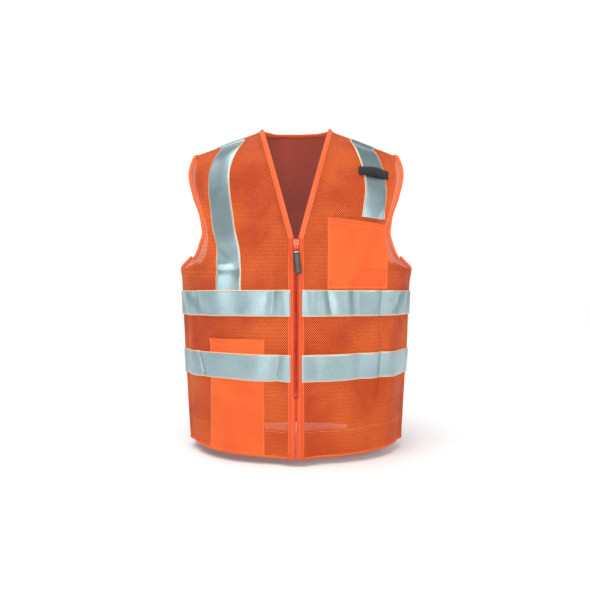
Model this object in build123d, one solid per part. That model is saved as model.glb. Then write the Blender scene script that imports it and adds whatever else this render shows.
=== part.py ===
from build123d import *
import os
from math import asin, cos, pi, radians, sin, sqrt

# High visibility vest, worn shape without the wearer.
# Frame: the vest hangs from its shoulders, front towards -Y, wearer's left towards +X.
# The origin lies midway between the two neck points, at their height.

# Overall sizes
VEST_LENGTH = 655.0
CHEST_HALF_WIDTH = 246.0
HEM_HALF_WIDTH = 225.0
TORSO_HALF_DEPTH = 130.0
CHEST_HEIGHT = 405.0
TAPER_POWER = 1.25

# Shoulder line
COLLAR_RISE = 20.0
SHOULDER_SLOPE = 0.384
COLLAR_ROUNDING = 21.0
NECK_HALF_WIDTH = 70.0
SHOULDER_TIP = 216.0

# Heights above the hem
V_HEIGHT = 411.0
UNDERARM_HEIGHT = 350.0
UPPER_BAND_BOTTOM = 262.0
LOWER_BAND_BOTTOM = 140.0
TAPE_WIDTH = 50.8
VERTICAL_TAPE_HALF_WIDTH = 24.0

# Cloth thicknesses
PANEL = 1.2
TRIM = 0.6
FACING = 0.8
WEBBING = 1.2
LAYER_GAP = 0.1
POCKET_GAP = 0.5
BODY_GAP = 0.8

# Trims
NECK_BINDING_WIDTH = 9.5
ARM_BINDING_WIDTH = 6.0
BINDING_EDGE = 1.0
HEM_FACING_HEIGHT = 50.0
SEAM_WIDTH = 9.0
PLACKET_EDGE = 4.5
PLACKET_WIDTH = 11.0
CLOSED_EDGE = 0.6
BAND_END = 9.5
TAPE_TUCK = 10.0
TAPE_OVERRUN = 35.0

# Chest pocket, on the wearer's left
CHEST_POCKET_INNER = 61.0
CHEST_POCKET_OUTER = 180.0
CHEST_POCKET_BAND_GAP = 2.2
CHEST_POCKET_BOTTOM = UPPER_BAND_BOTTOM + TAPE_WIDTH + CHEST_POCKET_BAND_GAP
CHEST_POCKET_TOP = 453.0
CHEST_POCKET_TOP_OUTER = 441.0

# Lower outside pocket, on the wearer's right
LOWER_POCKET_INNER = 61.0
LOWER_POCKET_OUTER = 176.0
LOWER_POCKET_TOP = 219.0

# Inside pocket, on the wearer's left
INSIDE_POCKET_INNER = 100.0
INSIDE_POCKET_OUTER = 205.0
INSIDE_POCKET_TOP = 185.0

POCKET_FULLNESS = 10.0
POCKET_BOTTOM = 3.0

# Microphone tab, on the wearer's left
MIC_TAB_LENGTH = 64.0
MIC_TAB_WIDTH = 20.0
MIC_TAB_STANDOFF = 9.0
MIC_TAB_HEIGHT = 550.0
MIC_TAB_CENTRE = 158.0
MIC_TAB_TILT = 3.6

# Zip
ZIP_BOTTOM = 119.0
ZIP_TOP_DROP = 1.5
ZIP_TOP = V_HEIGHT - ZIP_TOP_DROP
ZIP_TAPE_INNER = 1.1
ZIP_TAPE_OUTER = 15.0
TOOTH_INNER = 1.2
TOOTH_OUTER = 3.8
TOOTH_HEIGHT = 1.8
TOOTH_PITCH = 3.0
TOOTH_DEPTH = 1.8
STOP_HEIGHT = 2.0
RETAINER_HEIGHT = 7.0
PIN_WIDTH = 0.9
PIN_HEIGHT = 14.0

# Slider and puller
SLIDER_HALF_WIDTH = 5.0
SLIDER_LENGTH = 12.0
SLIDER_PLATE = 1.2
SLIDER_CLEARANCE = 0.5
DIAMOND_HALF_WIDTH = 0.7
DIAMOND_LENGTH = 4.0
BAIL_HALF_WIDTH = 1.0
BAIL_LENGTH = 8.0
BAIL_THICKNESS = 1.0
BAIL_GAP = 2.4
TAB_THICKNESS = 1.2
TAB_HALF_WIDTH = 3.6
TAB_EYE_HALF_WIDTH = 1.5
TAB_EYE_LENGTH = 5.4
TAB_LENGTH = 10.5
TAB_HOLE_RADIUS = 1.2
TAB_HOLE_RISE = 2.4
LOOP_RADIUS = 0.6
LOOP_DROP = 5.0
LOOP_CLEARANCE = 0.4
RING_WIDTH = 8.0
RING_HEIGHT = 2.6
GRIP_WIDTH = 11.5
GRIP_LENGTH = 40.0
GRIP_THICKNESS = 3.0
GRIP_ROUNDING = 1.2
GRIP_RECESS = 0.5
GRIP_RECESS_BORDER = 2.2
GRIP_LEAN = 5.5

# Armhole shapes, as (half width, height above the hem) from the shoulder tip down
FRONT_ARMHOLE = [(SHOULDER_TIP, 599.0), (222.0, 550.0), (208.0, 500.0), (190.0, 455.0),
                 (188.0, 420.0), (204.0, 380.0), (250.0, UNDERARM_HEIGHT)]
BACK_ARMHOLE = [(SHOULDER_TIP, 599.0), (223.0, 555.0), (214.0, 500.0), (204.0, 455.0),
                (203.0, 420.0), (213.0, 380.0), (250.0, UNDERARM_HEIGHT)]
BACK_NECK_RISE = 10.0

# Middle lines of the vertical tapes, as (distance from the centre, height above the hem)
LONG_TAPE = [(127.0, VEST_LENGTH + TAPE_OVERRUN), (138.0, 620.0), (157.0, 549.0), (146.0, 446.0),
             (133.0, 380.0), (131.0, 290.0)]
SHORT_TAPE = [(133.0, VEST_LENGTH + TAPE_OVERRUN), (143.0, 620.0), (158.0, 560.0), (162.0, 510.0),
              (153.0, 454.0)]
BACK_TAPE = [(140.0, VEST_LENGTH + TAPE_OVERRUN), (146.0, 620.0), (150.0, 500.0), (140.0, 380.0),
             (138.0, 290.0)]

FRONT = -1
BACK = 1
LEFT = 1
RIGHT = -1
FAR = 300.0
WORLD_X = Vector(1, 0, 0)
STRAIGHT_STEPS = 7
CLOSING_STEPS = 10
ACROSS_STEPS = 12
EDGE_OVERRUN = 0.04
FINE_STEPS = 24


def half_width(z):
    """Half width of the body of the vest at height z."""
    drop = CHEST_HEIGHT - VEST_LENGTH - z
    if drop <= 0:
        return CHEST_HALF_WIDTH
    return CHEST_HALF_WIDTH - (CHEST_HALF_WIDTH - HEM_HALF_WIDTH) * (drop / CHEST_HEIGHT) ** TAPER_POWER


def ridge(x):
    """Height of the shoulder line at x."""
    return COLLAR_RISE - SHOULDER_SLOPE * (sqrt(x * x + COLLAR_ROUNDING ** 2) - COLLAR_ROUNDING)


def surface(side, angle, level):
    """Point on the cloth: level -1 is the hem, 0 the chest, 1 the shoulder line."""
    chest = CHEST_HEIGHT - VEST_LENGTH
    if level <= 0:
        z = chest + CHEST_HEIGHT * level
        return Vector(half_width(z) * sin(angle), side * TORSO_HALF_DEPTH * cos(angle), z)
    x = CHEST_HALF_WIDTH * sin(angle)
    closing = level * pi / 2
    y = side * TORSO_HALF_DEPTH * cos(angle) * cos(closing)
    return Vector(x, y, chest + (ridge(x) - chest) * sin(closing))


def outward(side, angle, level):
    """Unit normal of the cloth, away from the wearer."""
    step = 1e-4
    across = surface(side, angle + step, level) - surface(side, angle - step, level)
    up = surface(side, angle, min(level + step, 1)) - surface(side, angle, level - step)
    return across.cross(up).normalized() * -side


def cloth_face(side, offset, angles, levels):
    """Curved face at an offset from the cloth; offset is a number or a function of x and z."""
    rows = []
    for level in levels:
        narrowing = max(0.0, min(1.0, (level - 0.18) / 0.25))
        limit = pi / 2 - 0.30 * narrowing * narrowing * (3 - 2 * narrowing)
        row = []
        for share in angles:
            point = surface(side, share * limit, level)
            distance = offset(point.X, point.Z) if callable(offset) else offset
            row.append(point + outward(side, share * limit, level) * distance)
        rows.append(row)
    return Face.make_surface_from_array_of_points(rows, tol=0.01)


def shell(side, inner, outer, angles, levels):
    """Closed sheet between two offsets of the cloth."""
    low = cloth_face(side, inner, angles, levels)
    high = cloth_face(side, outer, angles, levels)
    rims = []
    for edge in low.edges():
        partner = min(high.edges(), key=lambda other: (other @ 0.5 - edge @ 0.5).length)
        rims.append(Face.make_surface_from_curves(edge, partner))
    sheet = Solid(Shell(Face.sew_faces([low, high] + rims)[0]))
    return sheet


def spread(start, end, steps):
    return [start + (end - start) * i / steps for i in range(steps + 1)]


def levels_between(bottom, top, steps):
    """Levels that cover a range of heights above the hem."""
    span = VEST_LENGTH + COLLAR_RISE - CHEST_HEIGHT
    low = (bottom - CHEST_HEIGHT) / CHEST_HEIGHT
    if bottom > CHEST_HEIGHT:
        low = asin((bottom - CHEST_HEIGHT) / span) * 2 / pi
    high = (top - CHEST_HEIGHT) / (CHEST_HEIGHT if top < CHEST_HEIGHT else span)
    return spread(low, min(high, 1.0), steps)


FULL_LEVELS = spread(-1.02, 0, STRAIGHT_STEPS)[:-1] + spread(0, 1, CLOSING_STEPS)
HALF_ANGLES = spread(-EDGE_OVERRUN, 1, ACROSS_STEPS)
WHOLE_ANGLES = spread(-1, 1, 2 * ACROSS_STEPS)
SHELLS = {}


def front_shell(inner, outer):
    """Sheet over the wearer's left front, from just past the centre to the side."""
    key = (FRONT, inner, outer)
    if key not in SHELLS:
        SHELLS[key] = shell(FRONT, inner, outer, HALF_ANGLES, FULL_LEVELS)
    return SHELLS[key]


def back_shell(inner, outer):
    """Sheet over the whole back."""
    key = (BACK, inner, outer)
    if key not in SHELLS:
        SHELLS[key] = shell(BACK, inner, outer, WHOLE_ANGLES, FULL_LEVELS)
    return SHELLS[key]


def at_height(x, height):
    return Vector(x, 0, height - VEST_LENGTH)


def prism(edges, side, near=BODY_GAP / 2, far=FAR):
    """Cutting block from an outline in the front view, on one side of the side seams."""
    outline = Face(Wire(edges))
    block = Solid.extrude(outline, Vector(0, side * (far - near), 0))
    return block.moved(Location((0, side * near, 0)))


def loop_of(points):
    return [Edge.make_line(a, b) for a, b in zip(points, points[1:] + points[:1])]


def rectangle(x0, x1, bottom, top, side, near=BODY_GAP / 2, far=FAR):
    corners = [at_height(x0, bottom), at_height(x1, bottom), at_height(x1, top), at_height(x0, top)]
    return prism(loop_of(corners), side, near, far)


def armhole_curve(shape, inset):
    """Armhole edge, moved towards the body of the vest by inset."""
    curve = Edge.make_spline([at_height(x, h) for x, h in shape])
    if inset == 0:
        return curve
    moved = []
    for i in range(len(shape)):
        place = curve.param_at_point(at_height(*shape[i]))
        direction = curve.tangent_at(place)
        normal = Vector(direction.Z, 0, -direction.X)
        moved.append(at_height(*shape[i]) + normal * inset)
    return Edge.make_spline(moved)


def v_edge(inset):
    """Straight edge of the V neck, moved towards the shoulder by inset."""
    low = at_height(PLACKET_EDGE, V_HEIGHT)
    high = at_height(NECK_HALF_WIDTH, VEST_LENGTH)
    run = (high - low).normalized()
    shift = Vector(run.Z, 0, -run.X) * inset
    return low - run * 2 * NECK_BINDING_WIDTH + shift, high + run * 2 * NECK_BINDING_WIDTH + shift


def front_region(inset_arm, inset_neck, x0, bottom):
    """Outline block of one front, on the wearer's left."""
    curve = armhole_curve(FRONT_ARMHOLE, inset_arm)
    top = curve @ 0
    end = curve @ 1
    low, high = v_edge(inset_neck)
    crossing = low + (high - low) * max(0.0, (x0 - low.X) / (high.X - low.X))
    start = at_height(x0, bottom)
    above = VEST_LENGTH + 2 * COLLAR_RISE
    peak = Vector(high.X, 0, above - VEST_LENGTH)
    points = [end, at_height(FAR, end.Z + VEST_LENGTH), at_height(FAR, bottom), start, crossing, high, peak,
              at_height(top.X, above), top]
    edges = [Edge.make_line(a, b) for a, b in zip(points, points[1:])]
    return prism(edges + [curve], FRONT)


def back_neck(inset):
    """Back neckline from the wearer's right to left, moved down by inset."""
    reach = NECK_HALF_WIDTH + inset
    ends = VEST_LENGTH - inset
    middle = at_height(0, ends + BACK_NECK_RISE)
    return Edge.make_three_point_arc(at_height(-reach, ends), middle, at_height(reach, ends))


def back_region(inset_arm, inset_neck, bottom):
    """Outline block of the back."""
    left = armhole_curve(BACK_ARMHOLE, inset_arm)
    right = left.mirror(Plane.YZ)
    neck = back_neck(inset_neck)
    top = left @ 0
    end = left @ 1
    above = 2 * COLLAR_RISE
    points = [end, Vector(FAR, 0, end.Z), at_height(FAR, bottom), at_height(-FAR, bottom),
              Vector(-FAR, 0, end.Z), Vector(-end.X, 0, end.Z)]
    lower = [Edge.make_line(a, b) for a, b in zip(points, points[1:])]
    neck_left = neck @ 1
    rise_left = [top, Vector(top.X, 0, above), Vector(neck_left.X, 0, above), neck_left]
    left_lines = [Edge.make_line(a, b) for a, b in zip(rise_left, rise_left[1:])]
    right_lines = [line.mirror(Plane.YZ) for line in left_lines]
    return prism(lower + [right] + right_lines + [neck] + left_lines + [left], BACK)


def both(name, solid):
    """A piece on the wearer's left and its mirror image on the right."""
    return {name + "_left": solid, name + "_right": solid.mirror(Plane.YZ)}


def cut(sheet, *blocks):
    result = sheet
    for block in blocks:
        result = result & block
    return result


def make_front_panels():
    region = front_region(BINDING_EDGE + 2 * LAYER_GAP, BINDING_EDGE + 2 * LAYER_GAP, PLACKET_EDGE, 0)
    return both("front_panel", cut(front_shell(0, PANEL), region))


def make_back_panel():
    region = back_region(BINDING_EDGE + 2 * LAYER_GAP, BINDING_EDGE + 2 * LAYER_GAP, 0)
    return {"back_panel": cut(back_shell(0, PANEL), region)}


def folded(sheet_of, whole, core, inner_part):
    """Binding folded over an edge: a channel that takes the panel between its two sides."""
    thick = cut(sheet_of(-TRIM - LAYER_GAP, PANEL + LAYER_GAP + TRIM), whole) - inner_part
    return thick - cut(sheet_of(-LAYER_GAP, PANEL + LAYER_GAP), core)


def make_front_bindings():
    whole = front_region(0, 0, PLACKET_EDGE, 0)
    neck_rest = front_region(0, NECK_BINDING_WIDTH, PLACKET_EDGE - FAR, 0)
    core_neck = front_region(-FAR / 10, BINDING_EDGE, PLACKET_EDGE - FAR, 0)
    neck = folded(front_shell, whole, core_neck, neck_rest)
    arm_rest = front_region(ARM_BINDING_WIDTH, 0, PLACKET_EDGE, 0)
    core_arm = front_region(BINDING_EDGE, -NECK_BINDING_WIDTH, PLACKET_EDGE, 0)
    arm = folded(front_shell, whole, core_arm, arm_rest)
    pieces = both("neck_binding", neck)
    pieces.update(both("front_armhole_binding", arm))
    return pieces


def make_back_bindings():
    whole = back_region(0, 0, 0)
    neck_rest = back_region(0, NECK_BINDING_WIDTH, 0)
    core_neck = back_region(0, BINDING_EDGE, 0)
    neck = max(folded(back_shell, whole, core_neck, neck_rest).solids(), key=lambda s: s.volume)
    arm_rest = back_region(ARM_BINDING_WIDTH, 0, 0)
    core_arm = back_region(BINDING_EDGE, 0, 0)
    arms = folded(back_shell, whole, core_arm, arm_rest)
    solids = sorted(arms.solids(), key=lambda s: s.center().X)
    return {"neck_binding_back": neck, "back_armhole_binding_right": solids[0],
            "back_armhole_binding_left": solids[-1]}


def make_bands():
    """Horizontal reflective tapes; the lower right one rides over the lower pocket."""
    pieces = {}
    inner = PANEL + FACING + 2 * LAYER_GAP
    outer = inner + TRIM
    for name, bottom in (("upper_band", UPPER_BAND_BOTTOM), ("lower_band", LOWER_BAND_BOTTOM)):
        front_block = rectangle(BAND_END, FAR, bottom, bottom + TAPE_WIDTH, FRONT)
        front = cut(front_shell(inner, outer), front_block)
        pieces.update(both(name, front))
        back_block = rectangle(-FAR, FAR, bottom, bottom + TAPE_WIDTH, BACK)
        pieces[name + "_back"] = cut(back_shell(inner, outer), back_block)
    block = rectangle(BAND_END, FAR, LOWER_BAND_BOTTOM, LOWER_BAND_BOTTOM + TAPE_WIDTH, FRONT)
    levels = levels_between(LOWER_BAND_BOTTOM - 5, LOWER_BAND_BOTTOM + TAPE_WIDTH + 5, STRAIGHT_STEPS)
    angles = spread(-EDGE_OVERRUN, 1, 2 * FINE_STEPS)
    lift = FACING + POCKET_GAP
    raised = shell(FRONT, lambda x, z: inner + lift + lower_pocket_rise(x, z),
                   lambda x, z: outer + lift + lower_pocket_rise(x, z), angles, levels)
    pieces["lower_band_right"] = cut(raised, block).mirror(Plane.YZ)
    return pieces


def tape_block(path, bottom, side):
    """Cutting block for a vertical tape along a middle line, down to a height."""
    edges = []
    for hand in (LEFT, RIGHT):
        edges.append(Edge.make_spline([at_height(x + hand * VERTICAL_TAPE_HALF_WIDTH, h) for x, h in path]))
    left, right = edges
    outline = [left, Edge.make_line(left @ 1, right @ 1), right, Edge.make_line(right @ 0, left @ 0)]
    return prism(outline, side) & rectangle(0, FAR, bottom, FAR + VEST_LENGTH, side)


def make_vertical_tapes():
    """Vertical reflective tapes from the shoulder seam down to the upper band."""
    inner = PANEL + LAYER_GAP
    outer = inner + TRIM
    low = UPPER_BAND_BOTTOM + TAPE_WIDTH - TAPE_TUCK
    sheet = front_shell(inner, outer)
    short = cut(sheet, tape_block(SHORT_TAPE, CHEST_POCKET_TOP + 1, FRONT))
    long = cut(sheet, tape_block(LONG_TAPE, low, FRONT))
    back = cut(back_shell(inner, outer), tape_block(BACK_TAPE, low, BACK))
    pieces = {"vertical_tape_left": short, "vertical_tape_right": long.mirror(Plane.YZ)}
    pieces.update(both("vertical_tape_back", back))
    return pieces


def bulge(x, height, inner, outer, bottom):
    """Fullness of a pocket: nothing at its sewn edges, most in the middle of its mouth."""
    across = (abs(x) - inner) / (outer - inner)
    if across <= 0 or across >= 1:
        return 0.0
    rise = max(0.0, min(1.0, (height - bottom) / (0.35 * (outer - inner))))
    return POCKET_FULLNESS * sin(pi * across) ** 2 * sin(rise * pi / 2) ** 2


def lower_pocket_rise(x, z):
    return bulge(x, z + VEST_LENGTH, LOWER_POCKET_INNER, LOWER_POCKET_OUTER, POCKET_BOTTOM)


def pocket_sheet(inner, outer, bottom, top, near, far, inside=False):
    """Front wall of a patch pocket; near and far are its two offsets from the cloth."""
    sign = -1 if inside else 1
    angles = spread(0.5 * inner / CHEST_HALF_WIDTH, 0.92, FINE_STEPS)
    levels = levels_between(bottom - 4, top + 4, FINE_STEPS)
    return shell(FRONT, lambda x, z: near + sign * bulge(x, z + VEST_LENGTH, inner, outer, bottom),
                 lambda x, z: far + sign * bulge(x, z + VEST_LENGTH, inner, outer, bottom), angles, levels)


def make_chest_pocket():
    near = PANEL + POCKET_GAP
    sheet = pocket_sheet(CHEST_POCKET_INNER, CHEST_POCKET_OUTER, CHEST_POCKET_BOTTOM, CHEST_POCKET_TOP,
                         near, near + FACING)
    corners = [at_height(CHEST_POCKET_INNER, CHEST_POCKET_BOTTOM), at_height(CHEST_POCKET_OUTER, CHEST_POCKET_BOTTOM),
               at_height(CHEST_POCKET_OUTER, CHEST_POCKET_TOP_OUTER), at_height(CHEST_POCKET_INNER, CHEST_POCKET_TOP)]
    return {"chest_pocket": cut(sheet, prism(loop_of(corners), FRONT))}


def make_lower_pocket():
    near = PANEL + POCKET_GAP
    sheet = pocket_sheet(LOWER_POCKET_INNER, LOWER_POCKET_OUTER, POCKET_BOTTOM, LOWER_POCKET_TOP,
                         near, near + FACING)
    block = rectangle(LOWER_POCKET_INNER, LOWER_POCKET_OUTER, POCKET_BOTTOM, LOWER_POCKET_TOP, FRONT)
    return {"lower_pocket": cut(sheet, block).mirror(Plane.YZ)}


def make_inside_pocket():
    near = -FACING - POCKET_GAP
    sheet = pocket_sheet(INSIDE_POCKET_INNER, INSIDE_POCKET_OUTER, POCKET_BOTTOM, INSIDE_POCKET_TOP,
                         near - FACING, near, inside=True)
    block = rectangle(INSIDE_POCKET_INNER, INSIDE_POCKET_OUTER, POCKET_BOTTOM, INSIDE_POCKET_TOP, FRONT)
    return {"inside_pocket": cut(sheet, block)}


def make_hem_facings():
    block = rectangle(PLACKET_EDGE + ZIP_TAPE_OUTER, FAR, 0, HEM_FACING_HEIGHT, FRONT)
    pieces = both("hem_facing", cut(front_shell(-FACING, -LAYER_GAP), block))
    back_block = rectangle(-FAR, FAR, 0, HEM_FACING_HEIGHT, BACK)
    pieces["hem_facing_back"] = cut(back_shell(-FACING, -LAYER_GAP), back_block)
    return pieces


def make_seams():
    """Seam allowances inside the shoulders and the sides, sewn to the back."""
    sheet = back_shell(-FACING, -LAYER_GAP)
    x0 = NECK_HALF_WIDTH + NECK_BINDING_WIDTH + LAYER_GAP
    x1 = SHOULDER_TIP - ARM_BINDING_WIDTH
    top = VEST_LENGTH + COLLAR_RISE
    far = BODY_GAP / 2 + SEAM_WIDTH
    shoulder = cut(sheet, rectangle(x0, x1, CHEST_HEIGHT, top, BACK, far=far))
    low = HEM_FACING_HEIGHT + 1
    side = cut(sheet, rectangle(0, FAR, low, UNDERARM_HEIGHT - ARM_BINDING_WIDTH - 2, BACK, far=2 * far))
    pieces = both("shoulder_seam", shoulder)
    pieces.update(both("side_seam", side))
    return pieces


def make_plackets():
    """Folded strips beside the zip, and the zip's own tapes behind them."""
    near = PANEL + LAYER_GAP
    sheet = front_shell(near, near + FACING)
    below_binding = front_region(0, NECK_BINDING_WIDTH + LAYER_GAP, PLACKET_EDGE, 0)
    strip = rectangle(PLACKET_EDGE, PLACKET_EDGE + PLACKET_WIDTH, 0, V_HEIGHT + TAPE_WIDTH, FRONT)
    below_zip = ZIP_BOTTOM - RETAINER_HEIGHT - TOOTH_HEIGHT
    closed = rectangle(CLOSED_EDGE, PLACKET_EDGE + PLACKET_WIDTH, 0, below_zip, FRONT)
    return both("placket", cut(sheet, strip, below_binding) + cut(sheet, closed))


def make_zip_tapes():
    back = -LAYER_GAP * 2 - FACING - TRIM
    sheet = front_shell(back, back + FACING)
    block = rectangle(ZIP_TAPE_INNER, ZIP_TAPE_OUTER, ZIP_BOTTOM - RETAINER_HEIGHT, ZIP_TOP, FRONT)
    return both("zip_tape", cut(sheet, block))


def zip_front():
    """Distance from the frame's XZ plane to the front of the zip tape."""
    return TORSO_HALF_DEPTH - LAYER_GAP * 2 - TRIM


def block_at(x0, x1, y0, y1, bottom, top):
    size = (x1 - x0, y1 - y0, top - bottom)
    return Pos((x0 + x1) / 2, -(y0 + y1) / 2, (bottom + top) / 2 - VEST_LENGTH) * Box(*size)


def make_teeth():
    """Two rows of zip teeth, set half a pitch apart, each side's row a group of separate teeth."""
    start = zip_front() + 2 * LAYER_GAP
    count = int((ZIP_TOP - ZIP_BOTTOM - 2 * TOOTH_PITCH) / TOOTH_PITCH)
    rows = {}
    for name, hand, shift in (("zip_teeth_left", LEFT, 0.0), ("zip_teeth_right", RIGHT, 0.5)):
        teeth = []
        for i in range(count):
            bottom = ZIP_BOTTOM + (i + 0.5 + shift) * TOOTH_PITCH
            tooth = block_at(TOOTH_INNER, TOOTH_OUTER, start, start + TOOTH_DEPTH, bottom, bottom + TOOTH_HEIGHT)
            teeth.append(tooth if hand == LEFT else tooth.mirror(Plane.YZ))
        rows[name] = Compound(children=teeth)
    return rows


def make_zip_ends():
    """Top stops, the retainer box on the wearer's right and the insertion pin on the left."""
    start = zip_front() + 2 * LAYER_GAP
    stop = block_at(TOOTH_INNER, TOOTH_OUTER, start, start + TOOTH_DEPTH, ZIP_TOP - STOP_HEIGHT, ZIP_TOP)
    box = block_at(-TOOTH_OUTER, -LAYER_GAP - PIN_WIDTH / 2, start, start + TOOTH_DEPTH,
                   ZIP_BOTTOM - RETAINER_HEIGHT, ZIP_BOTTOM)
    pin = block_at(TOOTH_INNER - PIN_WIDTH / 2, TOOTH_OUTER, start, start + TOOTH_DEPTH / 2,
                   ZIP_BOTTOM - RETAINER_HEIGHT, ZIP_BOTTOM - RETAINER_HEIGHT + PIN_HEIGHT / 2)
    pieces = both("top_stop", stop)
    pieces["retainer_box"] = fillet(box.edges().filter_by(Axis.Y), BAIL_THICKNESS / 2)
    pieces["insertion_pin"] = pin
    return pieces


def slider_levels():
    top = ZIP_TOP - STOP_HEIGHT - SLIDER_CLEARANCE
    return top - SLIDER_LENGTH, top


def slider_front():
    """Distance from the XZ plane to the outer face of the slider's front plate."""
    return TORSO_HALF_DEPTH + PANEL + LAYER_GAP + FACING + SLIDER_CLEARANCE + SLIDER_PLATE


def tab_axis():
    """Depth and height of the bar that the pull tab turns on."""
    bottom, top = slider_levels()
    return slider_front() + BAIL_GAP / 2, bottom + 3 * BAIL_THICKNESS


def make_slider():
    """Front and back plates joined by the diamond that opens the teeth."""
    bottom, top = slider_levels()
    outer = slider_front()
    back = zip_front() - FACING - SLIDER_CLEARANCE
    front_plate = block_at(-SLIDER_HALF_WIDTH, SLIDER_HALF_WIDTH, outer - SLIDER_PLATE, outer, bottom, top)
    back_plate = block_at(-SLIDER_HALF_WIDTH, SLIDER_HALF_WIDTH, back - SLIDER_PLATE, back, bottom, top)
    corner = 2 * BAIL_THICKNESS
    front_plate = fillet(front_plate.edges().filter_by(Axis.Y), corner)
    back_plate = fillet(back_plate.edges().filter_by(Axis.Y), corner)
    diamond = block_at(-DIAMOND_HALF_WIDTH, DIAMOND_HALF_WIDTH, back - SLIDER_PLATE / 2, outer - SLIDER_PLATE / 2,
                       top - DIAMOND_LENGTH, top)
    return {"slider": front_plate + back_plate + diamond}


def make_bail():
    """Arch on the slider that holds the pull tab."""
    bottom, top = slider_levels()
    foot = slider_front()
    crest = foot + BAIL_GAP
    low = bottom + BAIL_THICKNESS / 2
    high = low + BAIL_LENGTH
    arch = block_at(-BAIL_HALF_WIDTH, BAIL_HALF_WIDTH, foot, crest + BAIL_THICKNESS, low, high)
    arch = fillet(arch.edges().filter_by(Axis.X).sort_by(Axis.Y)[:2], BAIL_THICKNESS)
    opening = block_at(-2 * BAIL_HALF_WIDTH, 2 * BAIL_HALF_WIDTH, foot, crest, low + BAIL_THICKNESS,
                       high - BAIL_THICKNESS)
    return {"slider_bail": arch - opening}


def make_pull_tab():
    """Small tab with an eye round the bail and a hole for the puller's loop."""
    depth, height = tab_axis()
    half = TAB_THICKNESS / 2
    plate = block_at(-TAB_HALF_WIDTH, TAB_HALF_WIDTH, depth - half, depth + half, height - TAB_LENGTH, height + half)
    lower = plate.edges().filter_by(Axis.Y).sort_by(Axis.Z)[:2]
    plate = fillet(lower, TAB_HALF_WIDTH * 0.8)
    eye = block_at(-TAB_EYE_HALF_WIDTH, TAB_EYE_HALF_WIDTH, depth - TAB_THICKNESS, depth + TAB_THICKNESS,
                   height - TAB_EYE_LENGTH, height - half)
    drill = Cylinder(TAB_HOLE_RADIUS, 2 * TAB_THICKNESS, rotation=(90, 0, 0))
    hole = Pos(0, -depth, height - TAB_LENGTH + TAB_HOLE_RISE - VEST_LENGTH) * drill
    return {"pull_tab": plate - eye - hole}


def puller_pivot():
    depth, height = tab_axis()
    return depth, height - TAB_LENGTH + TAB_HOLE_RISE


def lean(shape):
    """Turn a puller piece about the tab's hole, as it hangs in the photographed pose."""
    depth, height = puller_pivot()
    pivot = Vector(0, -depth, height - VEST_LENGTH)
    return shape.rotate(Axis(pivot, Vector(0, 1, 0)), -GRIP_LEAN)


def make_puller():
    """Loop through the tab, band that gathers it, and the moulded grip with its blank panel."""
    depth, height = puller_pivot()
    reach = TAB_THICKNESS / 2 + LOOP_CLEARANCE + LOOP_RADIUS
    z = height - VEST_LENGTH
    start = Vector(0, -depth + reach, z - LOOP_DROP)
    crown = Vector(0, -depth, z)
    inner = Vector(0, -depth + reach, z - reach)
    outer = Vector(0, -depth - reach, z - reach)
    end = Vector(0, -depth - reach, z - LOOP_DROP)
    path = Wire([Edge.make_line(start, inner), Edge.make_three_point_arc(inner, crown, outer),
                 Edge.make_line(outer, end)])
    section = Plane(start, x_dir=WORLD_X, z_dir=(0, 0, 1)) * Circle(LOOP_RADIUS)
    loop = sweep(section, path=path)
    half = GRIP_THICKNESS / 2
    ring_top = height - LOOP_DROP
    ring = block_at(-RING_WIDTH / 2, RING_WIDTH / 2, depth - reach - LOOP_RADIUS, depth + reach + LOOP_RADIUS,
                    ring_top - RING_HEIGHT, ring_top)
    ring = fillet(ring.edges().filter_by(Axis.Y), BAIL_THICKNESS)
    grip_top = ring_top - RING_HEIGHT
    grip = block_at(-GRIP_WIDTH / 2, GRIP_WIDTH / 2, depth - half, depth + half, grip_top - GRIP_LENGTH, grip_top)
    grip = fillet(grip.edges().filter_by(Axis.Y), 2 * GRIP_ROUNDING)
    recess_width = GRIP_WIDTH / 2 - GRIP_RECESS_BORDER
    pocket_block = block_at(-recess_width, recess_width, depth + half - 2 * GRIP_RECESS, depth + half,
                            grip_top - GRIP_LENGTH + GRIP_RECESS_BORDER, grip_top - GRIP_RECESS_BORDER)
    panel = block_at(-recess_width, recess_width, depth + half - 2 * GRIP_RECESS, depth + half - GRIP_RECESS,
                     grip_top - GRIP_LENGTH + GRIP_RECESS_BORDER, grip_top - GRIP_RECESS_BORDER)
    pieces = {"puller_loop": loop, "puller_ring": ring, "puller_grip": grip - pocket_block, "puller_panel": panel}
    return {name: lean(shape) for name, shape in pieces.items()}


def make_mic_tab():
    """Webbing loop across the vertical tape, sewn down at both ends."""
    near = PANEL + TRIM + 2 * LAYER_GAP
    half = MIC_TAB_LENGTH / 2

    def stand(x, z):
        share = (x - MIC_TAB_CENTRE) / half
        return MIC_TAB_STANDOFF * cos(share * pi / 2) ** 2 if abs(share) < 1 else 0.0

    levels = levels_between(MIC_TAB_HEIGHT - MIC_TAB_WIDTH, MIC_TAB_HEIGHT + MIC_TAB_WIDTH, STRAIGHT_STEPS)
    angles = spread(0.5 * (MIC_TAB_CENTRE - half) / CHEST_HALF_WIDTH, 1, FINE_STEPS)
    sheet = shell(FRONT, lambda x, z: near + stand(x, z), lambda x, z: near + WEBBING + stand(x, z), angles, levels)
    run = Vector(cos(radians(MIC_TAB_TILT)), 0, -sin(radians(MIC_TAB_TILT)))
    rise = Vector(-run.Z, 0, run.X)
    middle = at_height(MIC_TAB_CENTRE, MIC_TAB_HEIGHT)
    corners = [middle + run * half * a + rise * MIC_TAB_WIDTH / 2 * b for a, b in ((-1, -1), (1, -1), (1, 1), (-1, 1))]
    return {"mic_tab": cut(sheet, prism(loop_of(corners), FRONT))}


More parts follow.
